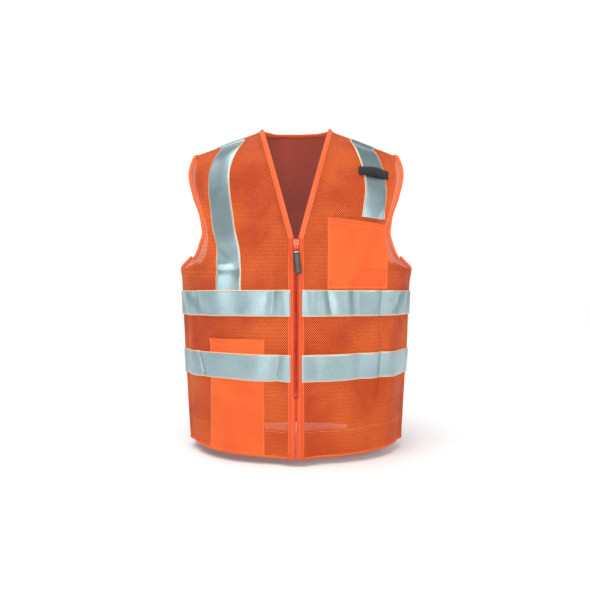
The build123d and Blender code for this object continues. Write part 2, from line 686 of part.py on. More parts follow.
def build():
    pieces = {}
    makers = (make_back_panel, make_front_panels, make_front_bindings, make_back_bindings, make_bands,
              make_vertical_tapes, make_chest_pocket, make_lower_pocket, make_inside_pocket, make_hem_facings,
              make_seams, make_plackets, make_zip_tapes, make_teeth, make_zip_ends, make_slider, make_bail,
              make_pull_tab, make_puller, make_mic_tab)
    for make in makers:
        pieces.update(make())
    return pieces


os.makedirs("parts", exist_ok=True)
for node, shape in build().items():
    export_step(shape, "parts/" + node + ".step")
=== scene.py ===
import math

import bmesh
import bpy
import numpy as np
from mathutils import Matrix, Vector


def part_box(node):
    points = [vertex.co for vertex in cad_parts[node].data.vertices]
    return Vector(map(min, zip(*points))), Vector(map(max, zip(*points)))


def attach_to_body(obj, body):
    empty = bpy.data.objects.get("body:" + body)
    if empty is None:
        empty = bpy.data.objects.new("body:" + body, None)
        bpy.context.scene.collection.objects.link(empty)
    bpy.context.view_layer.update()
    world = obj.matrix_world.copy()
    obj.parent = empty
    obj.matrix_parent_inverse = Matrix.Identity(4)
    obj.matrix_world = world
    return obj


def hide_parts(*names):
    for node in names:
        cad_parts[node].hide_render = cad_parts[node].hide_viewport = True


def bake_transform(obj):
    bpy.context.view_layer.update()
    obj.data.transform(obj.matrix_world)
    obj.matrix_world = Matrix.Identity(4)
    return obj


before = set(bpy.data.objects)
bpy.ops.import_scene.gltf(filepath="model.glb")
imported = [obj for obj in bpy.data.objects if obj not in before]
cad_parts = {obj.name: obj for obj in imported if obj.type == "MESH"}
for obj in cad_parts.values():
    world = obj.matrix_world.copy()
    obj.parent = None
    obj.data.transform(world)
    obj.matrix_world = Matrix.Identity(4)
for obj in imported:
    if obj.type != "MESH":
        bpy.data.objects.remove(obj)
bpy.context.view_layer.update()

# The cloth's own shape, in metres, as in the CAD part
LENGTH = 0.655
CHEST = 0.405
CHEST_HALF = 0.246
HEM_HALF = 0.225
DEPTH = 0.130
TAPER = 1.25
COLLAR_RISE = 0.020
SLOPE = 0.384
COLLAR_ROUND = 0.021
NECK_HALF = 0.070
V_HEIGHT = 0.411
UNDERARM = 0.350
PANEL_EDGE = 0.0045
TAPE = 0.0508
FRONT, BACK = -1, 1
LEFT, RIGHT = 1, -1
FRONT_ARM = [(0.216, 0.599), (0.222, 0.550), (0.208, 0.500), (0.190, 0.455), (0.188, 0.420), (0.204, 0.380),
             (0.250, UNDERARM)]
BACK_ARM = [(0.216, 0.599), (0.223, 0.555), (0.214, 0.500), (0.204, 0.455), (0.203, 0.420), (0.213, 0.380),
            (0.250, UNDERARM)]
HEM_SAG = 0.006
PANEL_OFF = 0.0006
BACK_NECK_RISE = 0.010


# ---------------- the cloth's surface

def half_width(z):
    drop = np.clip(CHEST - LENGTH - z, 0, None)
    return CHEST_HALF - (CHEST_HALF - HEM_HALF) * (drop / CHEST) ** TAPER


def ridge(x):
    return COLLAR_RISE - SLOPE * (np.sqrt(x * x + COLLAR_ROUND ** 2) - COLLAR_ROUND)


def base(side, phi, level):
    """Points of the smooth cloth.

    phi runs from the wearer's right to left, level from -1 at the hem through 0 at the chest
    to 1 at the shoulder line."""
    low = np.minimum(level, 0)
    high = np.clip(level, 0, 1) * math.pi / 2
    chest = CHEST - LENGTH
    z_low = chest + CHEST * low
    x = np.where(level <= 0, half_width(z_low), CHEST_HALF) * np.sin(phi)
    z_high = chest + (ridge(x) - chest) * np.sin(high)
    z = np.where(level <= 0, z_low, z_high)
    y = side * DEPTH * np.cos(phi) * np.cos(high)
    sag = HEM_SAG * np.cos(phi) ** 2 * np.clip(-level, 0, 1) ** 3
    return np.stack([x, y, z - (sag if side == FRONT else 0.4 * sag)], -1)


def normals(points_at, phi, level):
    step = 2e-3
    across = points_at(phi + step, level) - points_at(phi - step, level)
    up = points_at(phi, np.minimum(level + step, 1)) - points_at(phi, level - step)
    n = np.cross(across, up)
    return n / np.linalg.norm(n, axis=-1, keepdims=True)


def locate(x, h):
    """(phi, level) of a place given as x and height above the hem."""
    x = np.asarray(x, float)
    h = np.asarray(h, float)
    low = (h - CHEST) / CHEST
    rise = np.clip((h - CHEST) / (ridge(x) + LENGTH - CHEST), 0, 1)
    level = np.where(h <= CHEST, low, np.arcsin(rise) / (math.pi / 2))
    width = np.where(h <= CHEST, half_width(h - LENGTH), CHEST_HALF)
    return np.arcsin(np.clip(x / width, -1, 1)), level


def smooth(t):
    t = np.clip(t, 0, 1)
    return t * t * (3 - 2 * t)


# ---------------- folds

def crease(x, h, a, b, width, height, sharp=1.0):
    """Fold along the line a-b: a ridge (height > 0) or a valley, fading at its ends."""
    ax, ah = a
    bx, bh = b
    dx, dh = bx - ax, bh - ah
    long = math.hypot(dx, dh)
    along = ((x - ax) * dx + (h - ah) * dh) / long
    off = ((x - ax) * dh - (h - ah) * dx) / long
    fade = smooth(along / (0.25 * long) + 0.5) * smooth((long - along) / (0.25 * long) + 0.5)
    return height * fade * np.exp(-np.abs(off / width) ** (1 + sharp))


# ends (x, height), width, height of the crease and, where it isn't 1, how sharp it is
FRONT_FOLDS = [
    # upper band, wearer's right
    ((-0.205, 0.345), (-0.207, 0.235), 0.010, -0.0050),
    ((-0.150, 0.350), (-0.140, 0.225), 0.028, 0.0035),
    ((-0.040, 0.345), (-0.052, 0.235), 0.009, -0.0050, 0.6),
    ((-0.085, 0.360), (-0.080, 0.230), 0.030, 0.0040),
    # upper band, wearer's left
    ((0.058, 0.335), (0.072, 0.250), 0.008, -0.0045, 0.6),
    ((0.030, 0.340), (0.032, 0.240), 0.020, 0.0030),
    ((0.113, 0.330), (0.117, 0.245), 0.010, -0.0040),
    ((0.172, 0.335), (0.168, 0.240), 0.008, -0.0050, 0.6),
    ((0.195, 0.330), (0.197, 0.240), 0.016, 0.0035),
    ((0.218, 0.330), (0.216, 0.240), 0.006, -0.0040, 0.8),
    # lower band, wearer's right
    ((-0.208, 0.210), (-0.188, 0.140), 0.006, -0.0050, 0.5),
    ((-0.215, 0.215), (-0.212, 0.120), 0.012, 0.0030),
    ((-0.150, 0.215), (-0.146, 0.115), 0.035, -0.0035),
    ((-0.032, 0.190), (-0.044, 0.115), 0.008, -0.0045, 0.6),
    ((-0.070, 0.235), (-0.066, 0.110), 0.022, 0.0035),
    # lower band, wearer's left
    ((0.055, 0.235), (0.050, 0.110), 0.034, 0.0040),
    ((0.125, 0.245), (0.128, 0.100), 0.014, -0.0055),
    ((0.178, 0.240), (0.168, 0.090), 0.008, -0.0060, 0.6),
    ((0.200, 0.230), (0.194, 0.095), 0.014, 0.0045),
    # body of the fronts
    ((-0.185, 0.430), (-0.110, 0.345), 0.012, -0.0045),
    ((0.185, 0.430), (0.130, 0.345), 0.012, -0.0035),
    ((-0.120, 0.620), (-0.150, 0.480), 0.030, 0.0030),
    ((0.120, 0.620), (0.150, 0.500), 0.030, 0.0025),
    ((-0.235, 0.330), (-0.170, 0.255), 0.012, -0.0040),
    ((0.235, 0.330), (0.180, 0.255), 0.012, -0.0040),
    ((-0.120, 0.100), (-0.128, 0.010), 0.026, 0.0040),
    ((0.095, 0.110), (0.100, 0.005), 0.026, 0.0045),
    ((0.150, 0.110), (0.152, 0.005), 0.018, -0.0045),
    ((-0.190, 0.110), (-0.186, 0.005), 0.018, -0.0040),
]
BACK_FOLDS = [
    ((-0.120, 0.600), (-0.060, 0.420), 0.030, 0.0040),
    ((0.130, 0.610), (0.070, 0.400), 0.034, 0.0035),
    ((-0.190, 0.420), (-0.100, 0.330), 0.016, -0.0045),
    ((0.190, 0.425), (0.110, 0.335), 0.016, -0.0045),
    ((-0.140, 0.330), (-0.135, 0.050), 0.030, 0.0050),
    ((-0.060, 0.320), (-0.070, 0.020), 0.026, -0.0045),
    ((0.020, 0.380), (0.025, 0.030), 0.036, 0.0045),
    ((0.100, 0.320), (0.110, 0.010), 0.022, -0.0050),
    ((0.170, 0.330), (0.160, 0.020), 0.026, 0.0045),
    ((0.215, 0.300), (0.208, 0.020), 0.012, -0.0040),
    ((-0.212, 0.300), (-0.206, 0.020), 0.012, -0.0040),
]
SIM = {}


def sampled(side, phi, level):
    """What the cloth simulation moved, along the normal, at these places."""
    total = np.zeros(np.broadcast(phi, level).shape)
    for hand in (LEFT, RIGHT):
        field = SIM.get((side, hand))
        if field is None:
            continue
        inner, outer = limits(side, hand, level)
        u = np.clip((phi - inner) / (outer - inner), 0, 1)
        v = np.clip((level + 1) / 2, 0, 1)
        rows, cols = field.shape
        r = v * (rows - 1)
        c = u * (cols - 1)
        r0 = np.clip(r.astype(int), 0, rows - 2)
        c0 = np.clip(c.astype(int), 0, cols - 2)
        fr, fc = r - r0, c - c0
        value = (field[r0, c0] * (1 - fr) * (1 - fc) + field[r0 + 1, c0] * fr * (1 - fc)
                 + field[r0, c0 + 1] * (1 - fr) * fc + field[r0 + 1, c0 + 1] * fr * fc)
        total = np.where(phi * hand >= 0, value, total)
    return total


def fold_height(side, phi, level):
    p = base(side, phi, level)
    x, h = p[..., 0], p[..., 2] + LENGTH
    total = np.zeros(x.shape)
    for fold in FRONT_FOLDS if side == FRONT else BACK_FOLDS:
        total = total + crease(x, h, *fold)
    total = total + 0.0012 * np.sin(31 * x + 9 * h + side) * np.sin(23 * h - 13 * x)
    total = total + 0.0006 * np.sin(83 * x - 47 * h) * np.sin(61 * h + 37 * x + side)
    seam = smooth((math.pi / 2 - np.abs(phi)) / 0.10) * smooth((1 - level) / 0.08)
    middle = smooth((np.abs(x) - 0.006) / 0.03) if side == FRONT else 1.0
    return total * seam * middle


def cloth(side, phi, level, off=0.0):
    """Points of the folded cloth, at an offset outwards from it."""
    phi, level = np.broadcast_arrays(np.asarray(phi, float), np.asarray(level, float))

    def folded(p, l):
        flat = lambda a, b: base(side, a, b)
        n = normals(flat, p, l) * (1 if side == FRONT else -1)
        d = fold_height(side, p, l) + sampled(side, p, l)
        return flat(p, l) + n * d[..., None]

    n = normals(folded, phi, level) * (1 if side == FRONT else -1)
    return folded(phi, level) + n * np.broadcast_to(off, phi.shape)[..., None]


# ---------------- outlines

def curve_through(points, count):
    """Smooth curve through points (Catmull-Rom), as count samples."""
    p = np.array(points)
    p = np.vstack([2 * p[0] - p[1], p, 2 * p[-1] - p[-2]])
    out = []
    for s in np.linspace(0, len(points) - 1, count):
        i = min(int(s), len(points) - 2)
        t = s - i
        a, b, c, d = p[i], p[i + 1], p[i + 2], p[i + 3]
        out.append(0.5 * (2 * b + (c - a) * t + (2 * a - 5 * b + 4 * c - d) * t ** 2
                          + (3 * b - a - 3 * c + d) * t ** 3))
    return np.array(out)


def edge_table(points):
    phi, level = locate(points[:, 0], points[:, 1])
    order = np.argsort(level)
    return level[order], phi[order]


ARM_CURVE = {FRONT: curve_through(FRONT_ARM, 160), BACK: curve_through(BACK_ARM, 160)}
for curve in ARM_CURVE.values():
    curve[:, 0] = np.minimum(curve[:, 0], half_width(curve[:, 1] - LENGTH))
ARM_TABLE = {side: edge_table(curve) for side, curve in ARM_CURVE.items()}
V_CURVE = np.stack([np.linspace(PANEL_EDGE, NECK_HALF, 80), np.linspace(V_HEIGHT, LENGTH, 80)], 1)
V_TABLE = edge_table(V_CURVE)
NECK_X = np.linspace(0, NECK_HALF, 60)
NECK_CURVE = np.stack([NECK_X, LENGTH + BACK_NECK_RISE * (1 - (NECK_X / NECK_HALF) ** 2)], 1)
NECK_TABLE = edge_table(NECK_CURVE)
UNDERARM_LEVEL = ARM_TABLE[FRONT][0][0]


def limits(side, hand, level):
    """Inner and outer phi of one half of a panel at each level."""
    arm_level, arm_phi = ARM_TABLE[side]
    outer = np.where(level < arm_level[0], math.pi / 2, np.interp(level, arm_level, arm_phi))
    if side == FRONT:
        v_level, v_phi = V_TABLE
        x_edge = np.arcsin(PANEL_EDGE / half_width(np.minimum(level, 0) * CHEST + CHEST - LENGTH))
        inner = np.where(level < v_level[0], x_edge, np.interp(level, v_level, v_phi))
    else:
        n_level, n_phi = NECK_TABLE
        inner = np.where(level < n_level[0], 0.0, np.interp(level, n_level, n_phi))
    return hand * inner, hand * outer


# tables of the cloth's own measure, for patterns at their true size
TABLE_PHI = np.linspace(-math.pi / 2, math.pi / 2, 241)
TABLE_LEVEL = np.linspace(-1, 1, 241)
GRID = base(FRONT, TABLE_PHI[None, :], TABLE_LEVEL[:, None])
ACROSS = np.concatenate([np.zeros((241, 1)), np.cumsum(np.linalg.norm(np.diff(GRID, axis=1), axis=-1), 1)], 1)
ACROSS -= ACROSS[:, 120:121]
UPWARD = np.concatenate([np.zeros((1, 241)), np.cumsum(np.linalg.norm(np.diff(GRID, axis=0), axis=-1), 0)], 0)


def measure(phi, level):
    c = np.clip((phi / math.pi + 0.5) * 240, 0, 239.999)
    r = np.clip((level + 1) * 120, 0, 239.999)
    c0, r0 = c.astype(int), r.astype(int)
    fc, fr = c - c0, r - r0

    def mix(t):
        return ((t[r0, c0] * (1 - fc) + t[r0, c0 + 1] * fc) * (1 - fr)
                + (t[r0 + 1, c0] * (1 - fc) + t[r0 + 1, c0 + 1] * fc) * fr)
    return np.stack([mix(ACROSS), mix(UPWARD)], -1)


# ---------------- mesh helpers

def mesh_object(name, verts, faces, uvs=None, material=None):
    """Smooth-shaded mesh; verts and uvs may be grids."""
    mesh = bpy.data.meshes.new(name)
    mesh.from_pydata([tuple(v) for v in np.reshape(verts, (-1, 3))], [], faces)
    if uvs is not None:
        layer = mesh.uv_layers.new(name="UVMap")
        index = np.zeros(len(mesh.loops), dtype=int)
        mesh.loops.foreach_get("vertex_index", index)
        layer.data.foreach_set("uv", np.reshape(uvs, (-1, 2))[index].ravel())
    mesh.polygons.foreach_set("use_smooth", [True] * len(mesh.polygons))
    obj = bpy.data.objects.new(name, mesh)
    bpy.context.scene.collection.objects.link(obj)
    if material:
        mesh.materials.append(material)
    return obj


def grid_faces(rows, cols, flip=False):
    r, c = np.meshgrid(np.arange(rows - 1), np.arange(cols - 1), indexing="ij")
    a = (r * cols + c).ravel()
    quads = np.stack([a, a + 1, a + cols + 1, a + cols], 1)
    return (quads[:, ::-1] if flip else quads).tolist()


def sheet_mesh(name, side, phi, level, off, material, uv=None):
    """One cloth layer on the folded cloth; phi, level and off are grids of the same shape."""
    phi, level, off = np.broadcast_arrays(phi, level, np.asarray(off, float))
    points = cloth(side, phi, level, off)
    uv = measure(phi, level) if uv is None else uv
    rows, cols = phi.shape
    left_to_right = phi[0, -1] > phi[0, 0]
    outward = (side == FRONT) == left_to_right
    return mesh_object(name, points, grid_faces(rows, cols, not outward), uv, material)


def rim(count, drop, out):
    """Offsets across a strip whose two edges turn down to the layer below."""
    off = np.full(count, out)
    off[0] = off[-1] = drop
    return off


def strip_steps(count):
    """Shares across a strip, with the first and last step very short for the turned edge."""
    t = np.linspace(0, 1, count - 2)
    return np.concatenate([[0.0], 0.004 + 0.992 * t, [1.0]])


# ---------------- materials

class Net:
    """Short calls that add and link shader nodes."""

    def __init__(self, tree):
        self.nodes, self.links = tree.nodes, tree.links
        self.surface = tree.nodes.get("Principled BSDF")

    def put(self, socket, value):
        if isinstance(value, bpy.types.NodeSocket):
            self.links.new(value, socket)
        elif value is not None:
            socket.default_value = value

    def set(self, **values):
        for name, value in values.items():
            self.put(self.surface.inputs[name.replace("_", " ")], value)

    def math(self, op, a, b=None, c=None):
        n = self.nodes.new("ShaderNodeMath")
        n.operation = op
        for i, value in enumerate((a, b, c)):
            self.put(n.inputs[i], value)
        return n.outputs[0]

    def add(self, a, b):
        return self.math("ADD", a, b)

    def times(self, a, b):
        return self.math("MULTIPLY", a, b)

    def split(self, vector):
        n = self.nodes.new("ShaderNodeSeparateXYZ")
        self.put(n.inputs[0], vector)
        return n.outputs

    def uv(self):
        return self.nodes.new("ShaderNodeUVMap").outputs[0]

    def place(self):
        return self.nodes.new("ShaderNodeTexCoord").outputs["Object"]

    def noise(self, vector, scale, detail=2.0, rough=0.5):
        n = self.nodes.new("ShaderNodeTexNoise")
        self.put(n.inputs["Vector"], vector)
        n.inputs["Scale"].default_value = scale
        n.inputs["Detail"].default_value = detail
        n.inputs["Roughness"].default_value = rough
        return n.outputs["Fac"]

    def mix(self, factor, a, b):
        n = self.nodes.new("ShaderNodeMix")
        n.data_type = "RGBA"
        self.put(n.inputs["Factor"], factor)
        self.put(n.inputs["A"], a)
        self.put(n.inputs["B"], b)
        return n.outputs["Result"]

    def ramp(self, value, low, high, to_low=0.0, to_high=1.0):
        n = self.nodes.new("ShaderNodeMapRange")
        n.interpolation_type = "SMOOTHSTEP"
        self.put(n.inputs["Value"], value)
        for key, v in (("From Min", low), ("From Max", high), ("To Min", to_low), ("To Max", to_high)):
            n.inputs[key].default_value = v
        return n.outputs["Result"]

    def bump(self, height, distance, strength=1.0, normal=None):
        n = self.nodes.new("ShaderNodeBump")
        n.inputs["Distance"].default_value = distance
        n.inputs["Strength"].default_value = strength
        self.put(n.inputs["Height"], height)
        if normal is not None:
            self.put(n.inputs["Normal"], normal)
        return n.outputs[0]

    def wave(self, value, period, phase=0.0):
        """0 to 1 and back over each period."""
        turn = self.times(value, 2 * math.pi / period)
        return self.math("MULTIPLY_ADD", self.math("SINE", self.add(turn, phase)), 0.5, 0.5)


def material(name):
    mat = bpy.data.materials.new(name)
    mat.use_nodes = True
    return mat, Net(mat.node_tree)


def rgb(r, g, b):
    """Scene-linear colour from the 0-255 values that a display shows."""
    def lin(c):
        c /= 255
        return c / 12.92 if c <= 0.04045 else ((c + 0.055) / 1.055) ** 2.4
    return (lin(r), lin(g), lin(b), 1.0)


ORANGE = rgb(246, 112, 44)
ORANGE_DEEP = rgb(208, 72, 24)
ORANGE_SOLID = rgb(222, 88, 42)
ORANGE_LIGHT = rgb(238, 110, 64)
CREAM = rgb(226, 190, 152)
SHADE = rgb(70, 20, 8)
SILVER = rgb(166, 188, 192)
SILVER_DARK = rgb(132, 156, 162)


def cloth_surface(net, rough=0.75, sheen=0.10, tint=(1.0, 0.55, 0.35, 1.0)):
    net.set(Roughness=rough, Sheen_Weight=sheen, Sheen_Roughness=0.45, Sheen_Tint=tint, Specular_IOR_Level=0.25)


def mesh_material(name, hole_wide, hole_tall, shade_sheet_alpha, colour_light, colour_deep):
    """Warp-knit mesh: staggered oval holes through the cloth, with a ridge round each one. The holes are not
    left open: a part-opaque sheet in the dark SHADE colour fills them, as painted shade.
    """
    mat, net = material(name)
    u, v, _ = net.split(net.uv())
    pitch, row_step = 0.0039, 0.0025
    row = net.math("DIVIDE", v, row_step)
    row_index = net.math("FLOOR", row)
    shift = net.times(net.math("MODULO", net.add(row_index, 4096.0), 2.0), 0.5)
    cu = net.math("SUBTRACT", net.math("FRACT", net.add(net.math("DIVIDE", u, pitch), shift)), 0.5)
    cv = net.math("SUBTRACT", net.math("FRACT", row), 0.5)
    du = net.times(cu, pitch / hole_wide)
    dv = net.times(cv, row_step / hole_tall)
    dist = net.math("SQRT", net.add(net.times(du, du), net.times(dv, dv)))
    # the cloth is not cut right through at the holes: a part-opaque sheet stays there, as painted shade
    solid = net.ramp(dist, 0.88, 1.06, shade_sheet_alpha, 1.0)
    rim_ring = net.ramp(dist, 1.0, 1.6, 1.0, 0.0)
    broad = net.noise(net.place(), 9.0, 3.0)
    colour = net.mix(net.ramp(broad, 0.35, 0.7), colour_light, colour_deep)
    ribs = net.wave(v, 0.0075)
    colour = net.mix(net.times(ribs, 0.30), colour, ORANGE_DEEP)
    colour = net.mix(net.times(rim_ring, 0.25), colour, ORANGE_LIGHT)
    # painted shade: the holes and their inner edges take the dark SHADE colour
    colour = net.mix(net.ramp(dist, 0.95, 1.30), SHADE, colour)
    net.set(Base_Color=colour)
    net.set(Alpha=solid)
    knit = net.times(net.wave(u, 0.00065), net.wave(v, 0.0009))
    height = net.add(net.times(rim_ring, 0.8), net.times(knit, 0.35))
    net.set(Normal=net.bump(height, 0.0003, 0.6))
    cloth_surface(net, 0.7)
    return mat


def solid_material(name, colour, deep, stitch_rows=0.0012):
    """Close knitted polyester: fine ribs along its length and slight shade changes."""
    mat, net = material(name)
    u, v, _ = net.split(net.uv())
    broad = net.noise(net.place(), 12.0, 3.0)
    fine = net.noise(net.place(), 900.0, 2.0)
    tone = net.add(net.ramp(broad, 0.35, 0.7, 0.0, 0.5), net.ramp(fine, 0.3, 0.75, 0.0, 0.35))
    net.set(Base_Color=net.mix(tone, colour, deep))
    ribs = net.times(net.wave(u, stitch_rows), net.wave(v, stitch_rows * 0.7))
    height = net.add(ribs, net.times(fine, 0.5))
    net.set(Normal=net.bump(height, 0.00018, 0.5))
    cloth_surface(net, 0.72)
    return mat


def tape_material():
    """Glass-bead tape: grey with a cold sheen, a fine woven grain and pale stitched edges."""
    mat, net = material("reflective_tape")
    u, v, _ = net.split(net.uv())
    edge = net.math("MINIMUM", v, net.math("SUBTRACT", TAPE, v))
    pale = net.ramp(edge, 0.0012, 0.0022, 1.0, 0.0)
    broad = net.noise(net.place(), 14.0, 3.0)
    rub = net.noise(net.place(), 160.0, 3.0, 0.6)
    tone = net.add(net.ramp(broad, 0.35, 0.7, 0.0, 0.45), net.ramp(rub, 0.4, 0.8, 0.0, 0.25))
    colour = net.mix(tone, SILVER, SILVER_DARK)
    colour = net.mix(pale, colour, CREAM)
    net.set(Base_Color=colour)
    net.set(Metallic=net.times(net.math("SUBTRACT", 1.0, pale), 0.92))
    net.set(Roughness=net.ramp(rub, 0.3, 0.7, 0.30, 0.38))
    weave = net.times(net.wave(u, 0.0007), net.wave(v, 0.0007))
    beads = net.noise(net.uv(), 5200.0, 1.0)
    height = net.add(weave, net.times(beads, 0.5))
    net.set(Normal=net.bump(height, 0.00008, 0.5))
    net.set(Specular_IOR_Level=0.5)
    return mat


def webbing_material(name="black_webbing", colour=None, light=None, rib=0.0014):
    mat, net = material(name)
    u, v, _ = net.split(net.uv())
    ribs = net.wave(v, rib)
    row = net.math("FLOOR", net.math("DIVIDE", v, rib))
    cross = net.wave(net.add(u, net.times(row, rib / 2)), rib)
    weave = net.times(ribs, net.math("MULTIPLY_ADD", cross, 0.6, 0.4))
    fuzz = net.noise(net.place(), 1500.0, 2.0)
    tone = net.add(net.times(weave, 0.7), net.times(fuzz, 0.3))
    net.set(Base_Color=net.mix(tone, colour or rgb(14, 14, 16), light or rgb(52, 52, 58)))
    net.set(Normal=net.bump(weave, 0.0003, 0.7))
    cloth_surface(net, 0.6, 0.2, (0.7, 0.75, 0.9, 1.0))
    return mat


def plastic_material(name, colour, deep, rough=0.38, grain=0.00004, metallic=0.0):
    mat, net = material(name)
    fine = net.noise(net.place(), 1800.0, 2.0)
    broad = net.noise(net.place(), 160.0, 2.0)
    net.set(Base_Color=net.mix(net.ramp(broad, 0.3, 0.75), colour, deep))
    net.set(Roughness=net.ramp(broad, 0.3, 0.75, rough - 0.05, rough + 0.08))
    net.set(Normal=net.bump(fine, grain, 0.5))
    net.set(Metallic=metallic)
    return mat


def thread_material(name, colour):
    mat, net = material(name)
    fine = net.noise(net.place(), 2600.0, 2.0)
    net.set(Base_Color=net.mix(net.ramp(fine, 0.3, 0.8, 0.0, 0.5), colour, ORANGE_DEEP))
    net.set(Normal=net.bump(fine, 0.00008, 0.6))
    cloth_surface(net, 0.55, 0.2)
    return mat


# the fourth number is how opaque the sheet of painted shade in each hole is
MESH = mesh_material("orange_mesh", 0.00092, 0.00100, 0.55, ORANGE, ORANGE_DEEP)
# the back mesh is a darker copy of the same orange mesh, painted shade for the vest's inside, with a more
# opaque painted-shade sheet in its holes
MESH_BACK_SHADED = mesh_material("orange_mesh_back_shaded", 0.00070, 0.00076, 0.80, rgb(206, 66, 30), rgb(176, 48, 20))
SOLID = solid_material("orange_knit", ORANGE_SOLID, ORANGE)
BINDING = solid_material("orange_binding", ORANGE_LIGHT, ORANGE_SOLID, 0.0009)
PLACKET = solid_material("orange_placket", ORANGE_SOLID, ORANGE_DEEP, 0.0010)
TAPE_MAT = tape_material()
WEBBING = webbing_material()
ZIP_CLOTH = webbing_material("orange_zip_tape", rgb(206, 58, 24), rgb(246, 96, 48), 0.0011)
ZIP_PLASTIC = plastic_material("orange_zip_plastic", rgb(232, 70, 32), rgb(204, 52, 22), 0.32)
ENAMEL = plastic_material("orange_enamel", rgb(250, 98, 48), rgb(232, 74, 34), 0.28)
GRIP_BLACK = plastic_material("black_grip", rgb(26, 26, 28), rgb(40, 40, 43), 0.5, 0.00012)
GREY_BAND = plastic_material("grey_band", rgb(206, 208, 206), rgb(176, 180, 178), 0.45)
INLAY = plastic_material("grey_green_inlay", rgb(84, 92, 84), rgb(66, 74, 68), 0.55, 0.0001)
THREAD = thread_material("orange_thread", rgb(255, 150, 104))
PALE_THREAD = thread_material("pale_thread", rgb(246, 222, 200))
BLACK_THREAD = webbing_material("black_cord", rgb(12, 12, 14), rgb(46, 46, 50), 0.0006)


# ---------------- attachment


def on_front(obj):
    """Cloth of a front: bakes its transform into the mesh."""
    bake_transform(obj)


HAND_NAME = {LEFT: "left", RIGHT: "right"}


def attach(obj, side):
    if side == FRONT:
        on_front(obj)
    else:
        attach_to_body(obj, "vest_back")


def sewn(obj, node, slot, side, hand, flat, seams=(), under=None):
    """Cloth piece: its node and what it moves with; its material slot, flat cut and the layer it lies on are
    not used.
    """
    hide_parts(node)
    attach(obj, side)
    under = under or ("mesh_back" if side == BACK else "mesh_front_" + HAND_NAME[hand])


def travel(points):
    """Distance covered along a line of points, at each of them."""
    return np.concatenate([[0], np.cumsum(np.linalg.norm(np.diff(points, axis=0), axis=1))])


def length_of(points):
    return round(float(travel(points)[-1]), 3)


# ---------------- simulation

SIM_FRAMES = 34
SIM_REACH = 0.009


def simulate(side, hand, rows=96, cols=44):
    """Loose cloth held at its seams settles under gravity; returns how far it moved along the normal."""
    level = np.linspace(-1, 1, rows)[:, None]
    inner, outer = limits(side, hand, level)
    u = np.linspace(0, 1, cols)[None, :]
    phi = inner + (outer - inner) * u
    level = np.broadcast_to(level, phi.shape)
    start = base(side, phi, level)
    n = normals(lambda a, b: base(side, a, b), phi, level) * -side
    x, z = start[..., 0], start[..., 2]
    wobble = 0.0015 * np.sin(47 * x + 11 * z + 1.7 * side + hand) * np.sin(31 * z)
    obj = mesh_object("sim_sheet", start + n * wobble[..., None], grid_faces(rows, cols))
    group = obj.vertex_groups.new(name="held")
    held = np.zeros((rows, cols))
    held[-1, :] = 1
    held[:, -1] = 1
    below_v = level[:, 0] < V_TABLE[0][0]
    held[below_v, 0] = 1
    if side == BACK:
        held[:, 0] = 0.25
    for index in np.nonzero(held.ravel())[0]:
        group.add([int(index)], float(held.ravel()[index]), "REPLACE")
    mod = obj.modifiers.new("Cloth", "CLOTH")
    settings = mod.settings
    settings.quality = 6
    settings.mass = 0.15
    settings.tension_stiffness = 18
    settings.compression_stiffness = 18
    settings.shear_stiffness = 8
    settings.bending_stiffness = 0.6
    settings.vertex_group_mass = "held"
    settings.shrink_min = -0.035
    mod.collision_settings.use_collision = False
    mod.point_cache.frame_start, mod.point_cache.frame_end = 1, SIM_FRAMES
    scene = bpy.context.scene
    for number in range(1, SIM_FRAMES + 1):
        scene.frame_set(number)
    done = obj.evaluated_get(bpy.context.evaluated_depsgraph_get()).to_mesh()
    moved = np.zeros(len(done.vertices) * 3)
    done.vertices.foreach_get("co", moved)
    delta = ((moved.reshape(rows, cols, 3) - start) * n).sum(-1)
    bpy.data.objects.remove(obj, do_unlink=True)
    scene.frame_set(1)
    delta = np.clip(delta, -SIM_REACH, SIM_REACH)
    for _ in range(10):
        padded = np.pad(delta, 1, mode="edge")
        delta = (padded[1:-1, 1:-1] * 4 + padded[:-2, 1:-1] + padded[2:, 1:-1] + padded[1:-1, :-2]
                 + padded[1:-1, 2:]) / 8
    sewn = smooth((1 - u) / 0.14) * smooth((1 - level) / 0.12)
    return delta * sewn * (smooth(u / 0.10) if side == FRONT else 1)


fields = {(side, hand): simulate(side, hand) for side in (FRONT, BACK) for hand in (LEFT, RIGHT)}
middle = (fields[BACK, LEFT][:, 0] + fields[BACK, RIGHT][:, 0]) / 2
for hand in (LEFT, RIGHT):
    fields[BACK, hand][:, 0] = middle
SIM.update(fields)


# ---------------- panels

def panel_levels(count):
    """Levels with extra rows at the underarm, where the outline turns."""
    rows = np.concatenate([np.linspace(-1, UNDERARM_LEVEL, count // 2, endpoint=False),
                           UNDERARM_LEVEL + (1 - UNDERARM_LEVEL) * np.linspace(0, 1, count // 2) ** 1.35])
    return rows[:, None]


def flat_area(points):
    """Area of a grid of points."""
    a = np.cross(points[1:, :-1] - points[:-1, :-1], points[:-1, 1:] - points[:-1, :-1])
    return float(np.linalg.norm(a, axis=-1).sum())


for hand in (LEFT, RIGHT):
    level = panel_levels(200)
    inner, outer = limits(FRONT, hand, level)
    phi = inner + (outer - inner) * np.linspace(0, 1, 90)[None, :]
    level = np.broadcast_to(level, phi.shape)
    panel = sheet_mesh("mesh_front_" + HAND_NAME[hand], FRONT, phi, level, PANEL_OFF, MESH)
    panel_area = flat_area(cloth(FRONT, phi, level))
    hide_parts("front_panel_" + HAND_NAME[hand])
    on_front(panel)

level = panel_levels(200)
r_in, r_out = limits(BACK, RIGHT, level)
l_in, l_out = limits(BACK, LEFT, level)
t = np.linspace(0, 1, 80)[None, :]
phi = np.concatenate([r_out + (r_in - r_out) * t, (l_in + (l_out - l_in) * t)[:, 1:]], 1)
below = level[:, 0] <= NECK_TABLE[0][0] + 1e-9
back_level = np.broadcast_to(level, phi.shape)
points = cloth(BACK, phi, back_level, PANEL_OFF)
